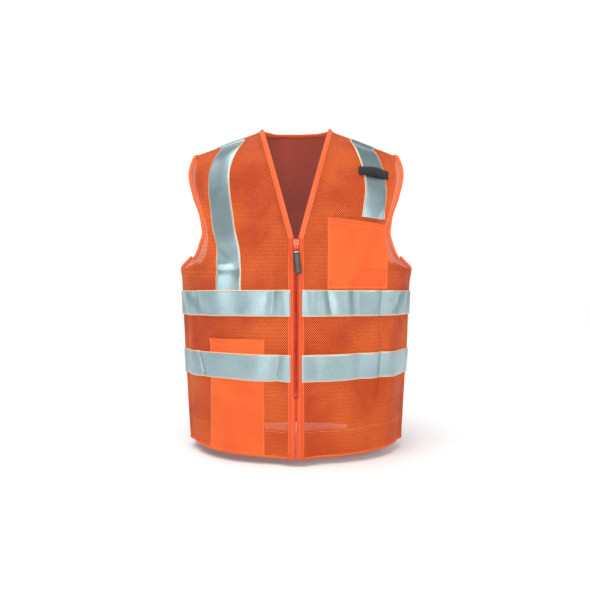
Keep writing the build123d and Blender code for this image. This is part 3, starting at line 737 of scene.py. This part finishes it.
# the two halves meet in the middle below the neckline, and are apart above it
rows, cols = phi.shape
kept = [face[::-1] for face in grid_faces(rows, cols)
        if face[0] % cols != 79 or below[min(face[0] // cols + 1, rows - 1)]]
# the back panel takes the darker copy of the mesh, painted shade
back = mesh_object("mesh_back", points, kept, measure(phi, back_level), MESH_BACK_SHADED)
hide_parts("back_panel")
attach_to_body(back, "vest_back")


# ---------------- horizontal strips

def stitch_line(places, normals_at, length=0.0024, gap=0.0010, width=0.00045, lift=0.00022):
    """Thread stitches along a line of points: low rounded bars, one after another."""
    run_at = travel(places)
    verts, faces = [], []
    count = int(run_at[-1] / (length + gap))
    starts = (np.arange(count) + 0.2) * (length + gap)

    def at(s):
        return np.stack([np.interp(s, run_at, places[:, k]) for k in range(3)], -1)

    def up(s):
        n = np.stack([np.interp(s, run_at, normals_at[:, k]) for k in range(3)], -1)
        return n / np.linalg.norm(n, axis=-1, keepdims=True)

    shares = ((0.0, 0.35, 0.0), (0.2, 0.9, 0.8), (0.5, 1.0, 1.0), (0.8, 0.9, 0.8), (1.0, 0.35, 0.0))
    for s in starts:
        a, b = at(s), at(s + length)
        n = up(s + length / 2)
        run = b - a
        side = np.cross(run, n)
        side /= np.linalg.norm(side)
        first = len(verts)
        for share, wide, high in shares:
            middle = a + run * share
            verts += [middle - side * width * wide - n * lift, middle + n * lift * high,
                      middle + side * width * wide - n * lift]
        for i in range(4):
            k = first + 3 * i
            faces += [(k, k + 1, k + 4, k + 3), (k + 1, k + 2, k + 5, k + 4)]
    return verts, faces


def stitches(name, side, lines, off, thread):
    """Joined stitch lines; each line is (phi array, level array)."""
    verts, faces = [], []
    for phi, level in lines:
        p = cloth(side, phi, level, off)
        q = cloth(side, phi, level, np.asarray(off) + 0.001)
        v, f = stitch_line(p, q - p)
        base_index = len(verts)
        verts += v
        faces += [tuple(i + base_index for i in face) for face in f]
    obj = mesh_object(name, verts, faces, np.array(verts)[:, :2], thread)
    attach(obj, side)
    return obj


BAND_START = 0.0095
TAPE_SEAM = 0.0030


def band(node, side, bottom, hand, off=0.0032, under=0.0009):
    """Horizontal reflective tape from the front edge to the side seam, or right across the back."""
    name = "level_" + node
    across = 150 if side == FRONT else 300
    rows = strip_steps(16)
    heights = bottom + TAPE * rows[:, None]
    if side == FRONT:
        inner, level = locate(np.full(heights.shape, BAND_START), heights)
        phi = hand * (inner + (math.pi / 2 - inner) * np.linspace(0, 1, across)[None, :])
    else:
        level = (heights - CHEST) / CHEST
        phi = (math.pi / 2) * np.linspace(-1, 1, across)[None, :] * np.ones(heights.shape)
    level = np.broadcast_to(level, phi.shape)
    offs = rim(16, under, off)[:, None] * np.ones(phi.shape)
    if side == FRONT:
        offs[:, 0] = under
    uv = measure(phi, level)
    uv[..., 1] = (rows * TAPE)[:, None]
    obj = sheet_mesh(name, side, phi, level, offs, TAPE_MAT, uv)
    lines = [(phi[0, 1:], np.full(across - 1, locate(0.0, height)[1]))
             for height in (bottom + TAPE_SEAM, bottom + TAPE - TAPE_SEAM)]
    seam = stitches(name + "_stitches", side, lines, off + 0.0001, PALE_THREAD)
    length = length_of(cloth(side, phi[8], level[8]))
    sewn(obj, node, "reflective_tape", side, hand, (length, TAPE), [seam])


for label, bottom in (("upper_band", 0.262), ("lower_band", 0.140)):
    for hand in (LEFT, RIGHT):
        band(label + "_" + HAND_NAME[hand], FRONT, bottom, hand)
    band(label + "_back", BACK, bottom, LEFT)


# ---------------- vertical tapes

LONG_TAPE = [(0.127, 0.690), (0.138, 0.620), (0.157, 0.549), (0.146, 0.446), (0.133, 0.380), (0.131, 0.290)]
SHORT_TAPE = [(0.133, 0.690), (0.143, 0.620), (0.158, 0.560), (0.162, 0.510), (0.153, 0.450)]
BACK_TAPE = [(0.140, 0.690), (0.146, 0.620), (0.150, 0.500), (0.140, 0.380), (0.138, 0.290)]
TAPE_HALF = 0.024


def tape_down(name, side, hand, path, bottom, node, off=0.0018):
    """Vertical reflective tape along a middle line, from the shoulder line down to a height."""
    line = curve_through(path, 400)
    order = np.argsort(line[:, 1])
    heights = line[order, 1]
    level_low = float(locate(np.array([0.15]), np.array([bottom]))[1][0])
    across = strip_steps(14)
    level = np.linspace(level_low, 1.0, 110)[:, None]
    phi = np.zeros((110, 14))
    for k, share in enumerate(across):
        shift = (2 * share - 1) * TAPE_HALF
        edge = np.stack([line[order, 0] + shift, heights], 1)
        table = edge_table(edge[edge[:, 1] <= ridge(edge[:, 0]) + LENGTH])
        phi[:, k] = hand * np.interp(level[:, 0], *table)
    level = np.broadcast_to(level, phi.shape)
    offs = np.ones(phi.shape) * rim(14, 0.0008, off)[None, :]
    uv = measure(phi, level)
    uv = np.stack([uv[..., 1], np.broadcast_to(across * TAPE, phi.shape)], -1)
    obj = sheet_mesh(name, side, phi, level, offs, TAPE_MAT, uv)
    lines = [(phi[:, 1] * (1 - share) + phi[:, -2] * share, level[:, 0]) for share in (0.06, 0.94)]
    seam = stitches(name + "_stitches", side, lines, off + 0.0001, PALE_THREAD)
    length = length_of(cloth(side, phi[:, 7], level[:, 7]))
    sewn(obj, node, "reflective_tape", side, hand, (TAPE, length), [seam])


for label, side, hand, path, bottom in (
        ("right", FRONT, RIGHT, LONG_TAPE, 0.303), ("left", FRONT, LEFT, SHORT_TAPE, 0.454),
        ("back_left", BACK, LEFT, BACK_TAPE, 0.303), ("back_right", BACK, RIGHT, BACK_TAPE, 0.303)):
    tape_down("tall_tape_" + label, side, hand, path, bottom, "vertical_tape_" + label)


# ---------------- bindings

def inward_steps(side, phi, level, toward):
    """Change of (phi, level) for one metre inwards from an edge, square to it."""
    step = 1e-3
    here = base(side, phi, level)
    by_phi = (base(side, phi + step, level) - base(side, phi - step, level)) / (2 * step)
    by_level = (here - base(side, phi, level - step)) / step
    run = np.gradient(here, axis=0)
    n = np.cross(by_phi, by_level)
    into = np.cross(n, run)
    into /= np.linalg.norm(into, axis=-1, keepdims=True)
    aim = base(side, np.array([toward[0]]), np.array([toward[1]]))[0] - here
    into *= np.sign((into * aim).sum(-1, keepdims=True))
    a = (by_phi * by_phi).sum(-1)
    b = (by_phi * by_level).sum(-1)
    c = (by_level * by_level).sum(-1)
    p = (into * by_phi).sum(-1)
    q = (into * by_level).sum(-1)
    det = a * c - b * b
    return (p * c - q * b) / det, (a * q - b * p) / det


# share of the binding's width inwards from the edge, and offset from the cloth
BINDING_PROFILE = [(1.0, 0.0008), (0.985, 0.0018), (0.70, 0.0023), (0.30, 0.0024), (0.08, 0.0021),
                   (-0.03, 0.0010), (-0.03, -0.0002), (0.06, -0.0012), (0.35, -0.0015), (0.95, -0.0013),
                   (1.0, -0.0004)]
STITCH_SHARE = 0.82
NECK_BIND, NECK_CUT = 0.0095, 0.022
ARM_BIND, ARM_CUT = 0.0065, 0.018


def binding(name, side, phi, level, toward, width, cut_width, hand, node):
    """Binding folded round a cut edge and stitched through near its inner side."""
    d_phi, d_level = inward_steps(side, phi, level, toward)
    shares, offs = np.array(BINDING_PROFILE).T
    p = phi[:, None] + d_phi[:, None] * shares * width
    l = np.minimum(level[:, None] + d_level[:, None] * shares * width, 1.0)
    run = travel(base(side, phi, level))
    around = np.concatenate([[0], np.cumsum(np.hypot(np.diff(shares * width), np.diff(offs)))])
    uv = np.stack(np.broadcast_arrays(run[:, None], around[None, :]), -1)
    points = cloth(side, p, l, np.broadcast_to(offs, p.shape))
    faces = grid_faces(*p.shape)
    outside = cloth(side, p[5:6, 3:4], l[5:6, 3:4], 0.01)[0, 0] - points[5, 3]
    test = np.cross(points[5, 3] - points[5, 2], points[6, 2] - points[5, 2])
    if (test * outside).sum() > 0:
        faces = [list(reversed(f)) for f in faces]
    obj = mesh_object(name, points, faces, uv, BINDING)
    inset = STITCH_SHARE * width
    line = (phi + d_phi * inset, np.minimum(level + d_level * inset, 1.0))
    seam = stitches(name + "_stitches", side, [line], 0.0022, THREAD)
    sewn(obj, node, "binding", side, hand, (cut_width, round(float(run[-1]), 3)), [seam])


for hand in (LEFT, RIGHT):
    side_name = HAND_NAME[hand]
    v_phi, v_level = locate(V_CURVE[:, 0], V_CURVE[:, 1])
    v_level = np.minimum(v_level, 0.999)
    binding("neck_edge_" + side_name, FRONT, hand * v_phi, v_level, (hand * 0.6, 0.2), NECK_BIND, NECK_CUT,
            hand, "neck_binding_" + side_name)
    for side, label in ((FRONT, "front"), (BACK, "back")):
        arm = ARM_CURVE[side]
        a_phi, a_level = locate(arm[:, 0], arm[:, 1])
        a_level = np.minimum(a_level, 0.999)
        binding("arm_edge_%s_%s" % (label, side_name), side, hand * a_phi, a_level, (hand * 0.5, 0.1),
                ARM_BIND, ARM_CUT, hand, "%s_armhole_binding_%s" % (label, side_name))
b_phi, b_level = locate(*np.concatenate([NECK_CURVE[::-1] * (-1, 1), NECK_CURVE[1:]]).T)
binding("neck_edge_back", BACK, b_phi, np.minimum(b_level, 0.998), (0.0, 0.2), NECK_BIND, NECK_CUT, LEFT,
        "neck_binding_back")


# ---------------- pockets, hem and seams

def patch(name, node, hand, x0, x1, low, top, off, open_by, turned, flat, sign=1):
    """Patch pocket: sewn down at its sides and bottom, with a turned hem along its open top.

    sign is -1 for a pocket inside the vest."""
    rows, cols = 60, 60
    u = strip_steps(cols)[None, :]
    v = strip_steps(rows)[:, None]
    x = x0 + (x1 - x0) * u
    h = low + (top(x) - low) * v
    x = np.broadcast_to(x, h.shape)
    phi, level = locate(x, h)
    full = np.sin(np.pi * np.clip(u, 0, 1)) ** 1.3 * smooth(v * 1.1) * open_by
    dip = 0.0005 * np.exp(-((top(x) - h - turned) / 0.0012) ** 2)
    off_grid = off + full - dip
    off_grid[0, :] = off_grid[:, 0] = off_grid[:, -1] = off - 0.0008
    obj = sheet_mesh(name, FRONT, hand * phi, level, off_grid * sign, SOLID)
    inset = 0.0028

    def line(xs, hs):
        p, l = locate(xs, hs)
        return hand * p, l
    hs = np.linspace(0, 1, 60)
    left_x = np.full(60, x0 + inset)
    right_x = np.full(60, x1 - inset)
    xs = np.linspace(x0 + inset, x1 - inset, 60)
    lines = [line(left_x, low + (top(left_x) - low) * hs), line(right_x, low + (top(right_x) - low) * hs),
             line(xs, np.full(60, low + inset)), line(xs, top(xs) - turned)]
    seams = []
    if sign > 0:
        mouth = open_by * np.sin(np.pi * np.linspace(0.03, 0.97, 60)) ** 1.3
        seams = [stitches(name + "_stitches", FRONT, lines[:3], off + 0.0003, THREAD),
                 stitches(name + "_mouth_stitches", FRONT, lines[3:], off + 0.0003 + mouth, THREAD)]
    sewn(obj, node, "solid_cloth", FRONT, hand, flat, seams)


patch("pocket_chest", "chest_pocket", LEFT, 0.061, 0.180, 0.3145,
      lambda x: 0.453 - 0.012 * (x - 0.061) / 0.119, 0.0018, 0.0040, 0.010, (0.135, 0.145))
patch("pocket_lower", "lower_pocket", RIGHT, 0.061, 0.176, 0.002,
      lambda x: 0.219 + 0 * x, 0.0015, 0.0008, 0.012, (0.130, 0.225))
patch("pocket_inside", "inside_pocket", LEFT, 0.100, 0.205, 0.003,
      lambda x: 0.185 + 0 * x, 0.0024, 0.0010, 0.012, (0.130, 0.190), sign=-1)


# height above the hem, and offset from the cloth
HEM_PROFILE = [(0.050, -0.0012), (0.030, -0.0010), (0.012, -0.0009), (0.0025, -0.0009), (0.0, -0.0006),
               (-0.001, 0.0004), (0.0, 0.0014), (0.0030, 0.0015), (0.0034, 0.0008)]


HEM_CUT = {FRONT: (0.27, 0.056), BACK: (0.57, 0.056)}


def hem(label, side, hand):
    """Hem facing inside the bottom edge, turned round it so that the edge is closed."""
    cols = 110 if side == FRONT else 220
    if side == FRONT:
        phi_line = hand * np.linspace(math.asin(0.0150 / HEM_HALF), math.pi / 2, cols)
    else:
        phi_line = np.linspace(-math.pi / 2, math.pi / 2, cols)
    h, off = np.array(HEM_PROFILE).T[..., None]
    level = np.broadcast_to((h - CHEST) / CHEST, (len(HEM_PROFILE), cols))
    phi = np.broadcast_to(phi_line[None, :], level.shape)
    points = cloth(side, phi, level, off)
    uv = measure(phi, np.maximum(level, -1))
    obj = mesh_object("hem_" + label, points, grid_faces(*phi.shape), uv, SOLID)
    top_line = (phi_line[1:-1], np.full(cols - 2, (0.047 - CHEST) / CHEST))
    seam = stitches("hem_%s_stitches" % label, side, [top_line], 0.0009, THREAD)
    sewn(obj, "hem_facing_" + label, "solid_cloth", side, hand, HEM_CUT[side], [seam])


for label, side, hand in (("left", FRONT, LEFT), ("right", FRONT, RIGHT), ("back", BACK, LEFT)):
    hem(label, side, hand)


SEAM_WIDTH = 0.0105


def seam_strip(name, phi, level, across_phi, across_level, node):
    """Overlocked seam allowance lying inside, with its thread ridge."""
    t = np.linspace(0, 1, 6)[None, :]
    p = phi[:, None] + across_phi * t
    l = np.clip(level[:, None] + across_level * t, -1, 1)
    p, l = np.broadcast_arrays(p, l)
    off = -0.0005 - 0.0006 * np.sin(np.pi * t) * np.ones(p.shape)
    obj = sheet_mesh(name, BACK, p, l, off, SOLID)
    sewn(obj, node, "solid_cloth", BACK, LEFT, (SEAM_WIDTH, length_of(cloth(BACK, phi, level))))


for hand in (LEFT, RIGHT):
    s_x = np.linspace(0.080, 0.208, 50)
    seam_strip("shoulder_seam_cloth_" + HAND_NAME[hand], hand * np.arcsin(s_x / CHEST_HALF),
               np.full(50, 0.9999), 0, -0.060, "shoulder_seam_" + HAND_NAME[hand])
    seam_strip("side_seam_cloth_" + HAND_NAME[hand], np.full(120, hand * math.pi / 2 * 0.9999),
               np.linspace((0.052 - CHEST) / CHEST, UNDERARM_LEVEL - 0.02, 120), -hand * 0.075, 0,
               "side_seam_" + HAND_NAME[hand])


# ---------------- plackets and zip

PLACKET_EDGE = 0.0155
# share from the inner to the outer edge, and offset from the cloth
PLACKET_PROFILE = [(0, 0.0002), (0.02, 0.0014), (0.10, 0.0021), (0.22, 0.0020), (0.5, 0.0019), (0.8, 0.0019),
                   (0.985, 0.0017), (1.0, 0.0008)]
# x and offset from the cloth
ZIP_TAPE_PROFILE = [(0.0009, -0.0006), (0.0025, -0.0008), (0.0045, -0.0008), (0.0090, -0.0010),
                    (0.0150, -0.0010)]


def front_strip(name, hand, x, h, off, mat):
    """Narrow upright strip at the centre front."""
    x, h, off = np.broadcast_arrays(x, h, off)
    phi, level = locate(x, h)
    return sheet_mesh(name, FRONT, hand * phi, level, off, mat, np.stack([x, h], -1))


for hand in (LEFT, RIGHT):
    side_name = HAND_NAME[hand]
    up = np.linspace(0.0, 0.4115, 200)
    inner_x = np.where(up < 0.110, 0.0006, 0.0043)[:, None]
    share, off = np.array(PLACKET_PROFILE).T
    x = inner_x + (PLACKET_EDGE - inner_x) * share
    h = np.minimum(up[:, None], V_HEIGHT + (x - PANEL_EDGE) * 3.2 - 0.004)
    placket = front_strip("placket_cloth_" + side_name, hand, x, h, off, PLACKET)
    lines = []
    for line_x in (0.0066, 0.0140):
        phi, level = locate(np.full(len(up) - 18, line_x), up[4:-14])
        lines.append((hand * phi, level))
    seam = stitches("placket_stitches_" + side_name, FRONT, lines, 0.0021, THREAD)
    sewn(placket, "placket_" + side_name, "solid_cloth", FRONT, hand, (0.0135, 0.412), [seam])

    x, off = np.array(ZIP_TAPE_PROFILE).T
    h = np.linspace(0.112, 0.4095, 90)[:, None]
    tape = front_strip("zip_cloth_" + side_name, hand, x, h, off, ZIP_CLOTH)
    sewn(tape, "zip_tape_" + side_name, "zip_tape", FRONT, hand, (0.0141, 0.2975),
         under="placket_cloth_" + side_name)


def lump(verts, faces, centre, half, power=0.72, rings=5, around=8):
    """Adds a rounded block (superellipsoid) to a mesh in progress."""
    first = len(verts)
    for i in range(rings + 1):
        lat = math.pi * (i / rings - 0.5)
        cl, sl = math.cos(lat), math.sin(lat)
        for j in range(around):
            lon = 2 * math.pi * j / around
            c, s = math.cos(lon), math.sin(lon)
            f = lambda v: math.copysign(abs(v) ** power, v)
            verts.append((centre[0] + half[0] * f(sl), centre[1] + half[1] * f(c) * abs(cl) ** power,
                          centre[2] + half[2] * f(s) * abs(cl) ** power))
    for i in range(rings):
        for j in range(around):
            a = first + i * around + j
            b = first + i * around + (j + 1) % around
            faces.append((a, b, b + around, a + around))


CHAIN_Y = -0.1302
CHAIN_LOW, CHAIN_HIGH = 0.121, 0.406
PITCH = 0.0024
for hand in (LEFT, RIGHT):
    verts, faces = [], []
    for i in range(int((CHAIN_HIGH - CHAIN_LOW) / PITCH)):
        z = CHAIN_LOW + (i + (0.5 if hand == RIGHT else 0.0)) * PITCH - LENGTH
        lump(verts, faces, (hand * 0.0025, CHAIN_Y, z), (0.0014, 0.0009, 0.00072))
        lump(verts, faces, (hand * 0.0013, CHAIN_Y, z), (0.00042, 0.0011, 0.00092), rings=4)
    teeth = mesh_object("zip_chain_" + HAND_NAME[hand], verts, faces, np.array(verts)[:, [0, 2]], ZIP_PLASTIC)
    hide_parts("zip_teeth_" + HAND_NAME[hand])
    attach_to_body(teeth, "front_" + HAND_NAME[hand])


def rounded_box(name, low, high, radius):
    """Block with rounded edges, for small moulded pieces."""
    bm = bmesh.new()
    bmesh.ops.create_cube(bm, size=1.0)
    low, high = np.array(low), np.array(high)
    for v in bm.verts:
        v.co = Vector((low + high) / 2 + np.array(v.co) * (high - low))
    bmesh.ops.bevel(bm, geom=list(bm.edges), offset=radius, segments=4, profile=0.5, affect="EDGES")
    mesh = bpy.data.meshes.new(name)
    bm.to_mesh(mesh)
    bm.free()
    mesh.polygons.foreach_set("use_smooth", [True] * len(mesh.polygons))
    mesh.materials.append(ZIP_PLASTIC)
    obj = bpy.data.objects.new(name, mesh)
    bpy.context.scene.collection.objects.link(obj)
    return obj


for node in ("top_stop_left", "top_stop_right", "retainer_box", "insertion_pin"):
    (x0, y0, z0), (x1, y1, z1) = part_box(node)
    block = rounded_box("zip_" + node, (x0, y0 - 0.0002, z0), (x1, y1, z1), 0.0004)
    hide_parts(node)
    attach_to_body(block, "front_left" if node in ("top_stop_left", "insertion_pin") else "front_right")


def repaint(node, mat, bevel=0.0002):
    """Shows a CAD solid as it is, with a fine bevel and another finish."""
    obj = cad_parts[node]
    obj.data.materials.clear()
    obj.data.materials.append(mat)
    mod = obj.modifiers.new("Bevel", "BEVEL")
    mod.width = bevel
    mod.segments = 2
    mod.limit_method = "ANGLE"


for node, mat in (("slider", ENAMEL), ("slider_bail", ENAMEL), ("pull_tab", ENAMEL),
                  ("puller_loop", BLACK_THREAD), ("puller_ring", GREY_BAND), ("puller_panel", INLAY),
                  ("puller_grip", GRIP_BLACK)):
    repaint(node, mat)


# ---------------- microphone tab

# share across the webbing, and its offset from the layer below
MIC_PROFILE = [(0.004, -0.0004), (0.0, 0.0004), (0.015, 0.0010), (0.35, 0.0011), (0.65, 0.0011),
               (0.985, 0.0010), (1.0, 0.0004), (0.996, -0.0004)]


def mic_tab():
    half, wide, tilt = 0.032, 0.0195, math.radians(3.6)
    centre = (0.158, 0.550)

    def place(along, across):
        return locate(centre[0] + half * along * math.cos(tilt) + across * math.sin(tilt),
                      centre[1] - half * along * math.sin(tilt) + across * math.cos(tilt))

    share, thick = np.array(MIC_PROFILE).T
    w = (share - 0.5) * wide
    s = np.linspace(-1, 1, 70)[:, None]
    phi, level = place(s, w)
    stand = 0.0050 * np.cos(np.clip(np.abs(s) / 0.86, 0, 1) * math.pi / 2) ** 1.4
    points = cloth(FRONT, phi, level, 0.0030 + stand + thick)
    uv = np.stack(np.broadcast_arrays(s * half, w + thick), -1)
    obj = mesh_object("mic_tab_webbing", points, grid_faces(*phi.shape), uv, WEBBING)
    lines = [place(end, np.linspace(-0.42, 0.42, 24) * wide) for end in (-0.95, -0.87, 0.87, 0.95)]
    seam = stitches("mic_tab_stitches", FRONT, lines, 0.0042, BLACK_THREAD)
    sewn(obj, "mic_tab", "black_webbing", FRONT, LEFT, (0.066, 0.021), [seam], "tall_tape_left")


mic_tab()


# ---------------- camera, light and floor

FLOOR_Z = -0.676
floor = mesh_object("floor", [(-9, -9, FLOOR_Z), (9, -9, FLOOR_Z), (9, 14, FLOOR_Z), (-9, 14, FLOOR_Z)],
                    [(0, 1, 2, 3)],
                    material=plastic_material("pale_floor", rgb(252, 252, 252), rgb(248, 248, 248), 0.8))

camera_data = bpy.data.cameras.new("camera")
camera_data.lens = 29.2
camera_data.sensor_width = 36.0
camera = bpy.data.objects.new("camera", camera_data)
bpy.context.scene.collection.objects.link(camera)
camera.location = (-0.002, -1.030, -0.352)
camera.rotation_euler = (math.pi / 2, 0, 0)
bpy.context.scene.camera = camera


MIDDLE = (0, 0, -0.35)


def lamp(name, kind, power):
    data = bpy.data.lights.new(name, kind)
    data.energy = power
    obj = bpy.data.objects.new(name, data)
    bpy.context.scene.collection.objects.link(obj)
    return obj


for name, place, size, power in (("key", (1.2, -1.7, 0.5), 0.9, 11), ("front", (-0.25, -2.6, 0.15), 0.55, 12),
                                 ("left_strip", (-1.1, -2.3, -0.3), 0.30, 4)):
    panel_light = lamp(name, "AREA", power)
    panel_light.data.shape = "SQUARE"
    panel_light.data.size = size
    panel_light.location = place
    aim = Vector(np.array(MIDDLE) - np.array(place))
    panel_light.rotation_euler = aim.to_track_quat("-Z", "Y").to_euler()
sun = lamp("overhead", "SUN", 2.3)
sun.data.angle = math.radians(50)
sun.rotation_euler = (math.radians(14), math.radians(-12), 0)

# white behind the vest, with a soft glow from each side
world = bpy.data.worlds.new("studio")
bpy.context.scene.world = world
world.use_nodes = True
sky = Net(world.node_tree)
to_x, to_y, _ = sky.split(sky.nodes.new("ShaderNodeTexCoord").outputs["Generated"])
front_glow = sky.add(sky.ramp(to_x, -0.80, -0.35, 0.50, 0.15), sky.ramp(to_x, 0.20, 0.65, 0.0, 0.28))
whole = sky.nodes.new("ShaderNodeMix")
sky.put(whole.inputs[0], sky.ramp(to_y, 0.50, 0.74))
sky.put(whole.inputs[2], front_glow)
sky.put(whole.inputs[3], 1.02)
backdrop = sky.nodes["Background"]
sky.put(backdrop.inputs["Color"], (1, 1, 1, 1))
sky.put(backdrop.inputs["Strength"], whole.outputs[0])
bpy.context.scene.view_settings.view_transform = "Standard"

bpy.context.view_layer.update()
